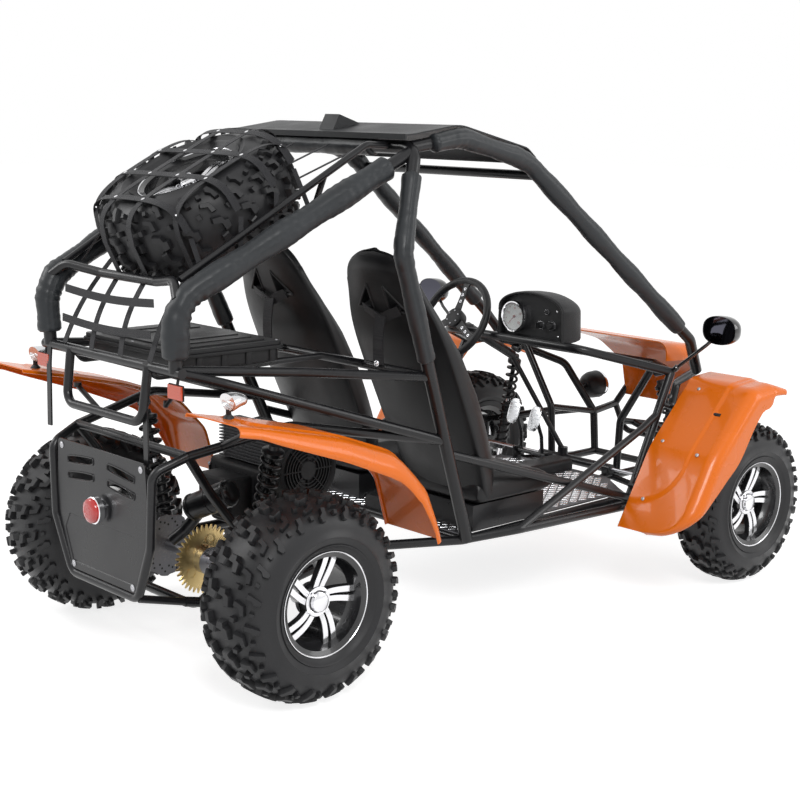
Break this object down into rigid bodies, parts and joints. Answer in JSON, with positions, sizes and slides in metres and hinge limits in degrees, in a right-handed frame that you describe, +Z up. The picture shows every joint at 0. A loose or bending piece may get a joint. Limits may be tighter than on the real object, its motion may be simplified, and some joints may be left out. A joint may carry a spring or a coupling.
{
  "type": "dune buggy",
  "caption": "Two-seat off-road buggy with a padded tube cage, orange fenders, spare wheel rack, live rear axle and steered front wheels",
  "frame": {"origin": "on the ground, midway between the tail lamp and the front bumper", "axes": "+X forward, +Y to the driver's left, +Z up"},
  "size_m": [2.482, 1.53, 1.51],
  "materials": {
    "frame_black": "black powder coat, satin",
    "pad_vinyl": "laced black vinyl sleeves over foam",
    "roof_black": "grained black moulding",
    "fender_orange": "gloss orange moulding",
    "tread_plate": "bright tread plate",
    "box_plastic": "grained black moulding",
    "seat_vinyl": "black vinyl over moulded shell",
    "steel_bare": "turned steel",
    "sprocket_gold": "yellow zinc",
    "rim_machined": "machined faces with black pockets",
    "tyre_rubber": "moulded rubber",
    "engine_metal": "black cast cases",
    "muffler_black": "heat-proof black",
    "shock_metal": "black springs on plated rods",
    "wheel_rubber": "moulded rim",
    "lamp_red": "red and amber lenses",
    "lamp_clear": "clear lens in a black shell",
    "webbing_black": "woven webbing"
  },
  "bodies": {
    "chassis": {"main_hoop": "frame_black", "roof_rails": "frame_black", "rear_stays": "frame_black", "belt_rails": "frame_black", "dash_bar": "frame_black", "floor_frame": "frame_black", "side_frame_left": "frame_black", "side_frame_right": "frame_black", "front_frame": "frame_black", "rear_frame": "frame_black", "spare_rack": "frame_black", "deck_rails": "frame_black", "guard_plate": "frame_black", "seat_boxes": "frame_black", "front_arms": "frame_black", "swing_arm": "frame_black", "steering_column": "frame_black", "steering_rack": "frame_black", "pedals": "frame_black", "hoop_pads": "pad_vinyl", "pillar_pads": "pad_vinyl", "stay_pads": "pad_vinyl", "roof_panel": "roof_black", "rear_fender_left": "fender_orange", "rear_fender_right": "fender_orange", "front_fender_left": "fender_orange", "front_fender_right": "fender_orange", "nose_cowl": "fender_orange", "floor_panels": "tread_plate", "tunnel": "box_plastic", "storage_box": "box_plastic", "dash_pod": "box_plastic", "mirrors": "box_plastic", "seat_left": "seat_vinyl", "seat_right": "seat_vinyl", "spare_rim": "rim_machined", "spare_tyre": "tyre_rubber", "engine": "engine_metal", "muffler": "muffler_black", "rear_shocks": "shock_metal", "front_shocks": "shock_metal", "tail_lamp": "lamp_red", "rear_signals": "lamp_red", "headlamps": "lamp_clear", "harness_left": "webbing_black", "harness_right": "webbing_black", "cargo_net": "webbing_black"},
    "rear_wheels": {"rear_axle": "steel_bare", "sprocket": "sprocket_gold", "brake_disc": "steel_bare", "rear_rims": "rim_machined", "rear_tyres": "tyre_rubber"},
    "steer_left": {"knuckle_left": "frame_black"},
    "steer_right": {"knuckle_right": "frame_black"},
    "wheel_front_left": {"front_rim_left": "rim_machined", "front_tyre_left": "tyre_rubber"},
    "wheel_front_right": {"front_rim_right": "rim_machined", "front_tyre_right": "tyre_rubber"},
    "hand_wheel": {"steering_wheel": "wheel_rubber"},
    "drag_link": {"tie_rods": "steel_bare"}
  },
  "joints": [
    {"name": "rear_axle_spin", "type": "hinge", "parent": "chassis", "child": "rear_wheels", "pos_m": [-0.911, 0, 0.279], "axis": [0, 1, 0], "continuous": true},
    {"name": "steer_left_pivot", "type": "hinge", "parent": "chassis", "child": "steer_left", "pos_m": [0.851, 0.548, 0.266], "axis": [0, 0, 1], "range_deg": [-28, 28]},
    {"name": "steer_right_pivot", "type": "hinge", "parent": "chassis", "child": "steer_right", "pos_m": [0.851, -0.548, 0.266], "axis": [0, 0, 1], "range_deg": [-28, 28]},
    {"name": "wheel_left_spin", "type": "hinge", "parent": "steer_left", "child": "wheel_front_left", "pos_m": [0.851, 0.621, 0.266], "axis": [0, 1, 0], "continuous": true},
    {"name": "wheel_right_spin", "type": "hinge", "parent": "steer_right", "child": "wheel_front_right", "pos_m": [0.851, -0.621, 0.266], "axis": [0, 1, 0], "continuous": true},
    {"name": "steering_wheel_turn", "type": "hinge", "parent": "chassis", "child": "hand_wheel", "pos_m": [0.358, 0.23, 0.821], "axis": [-0.8829, 0, 0.4695], "range_deg": [-140, 140]},
    {"name": "tie_rod_slide", "type": "slide", "parent": "chassis", "child": "drag_link", "axis": [0, 1, 0], "range_m": [-0.0514, 0.0514]}
  ],
  "couplings": [
    {"joint": "steer_right_pivot", "follows": "steer_left_pivot", "ratio": 1},
    {"joint": "steering_wheel_turn", "follows": "steer_left_pivot", "ratio": 5},
    {"joint": "tie_rod_slide", "follows": "steer_left_pivot", "m_per_rad": -0.105}
  ]
}
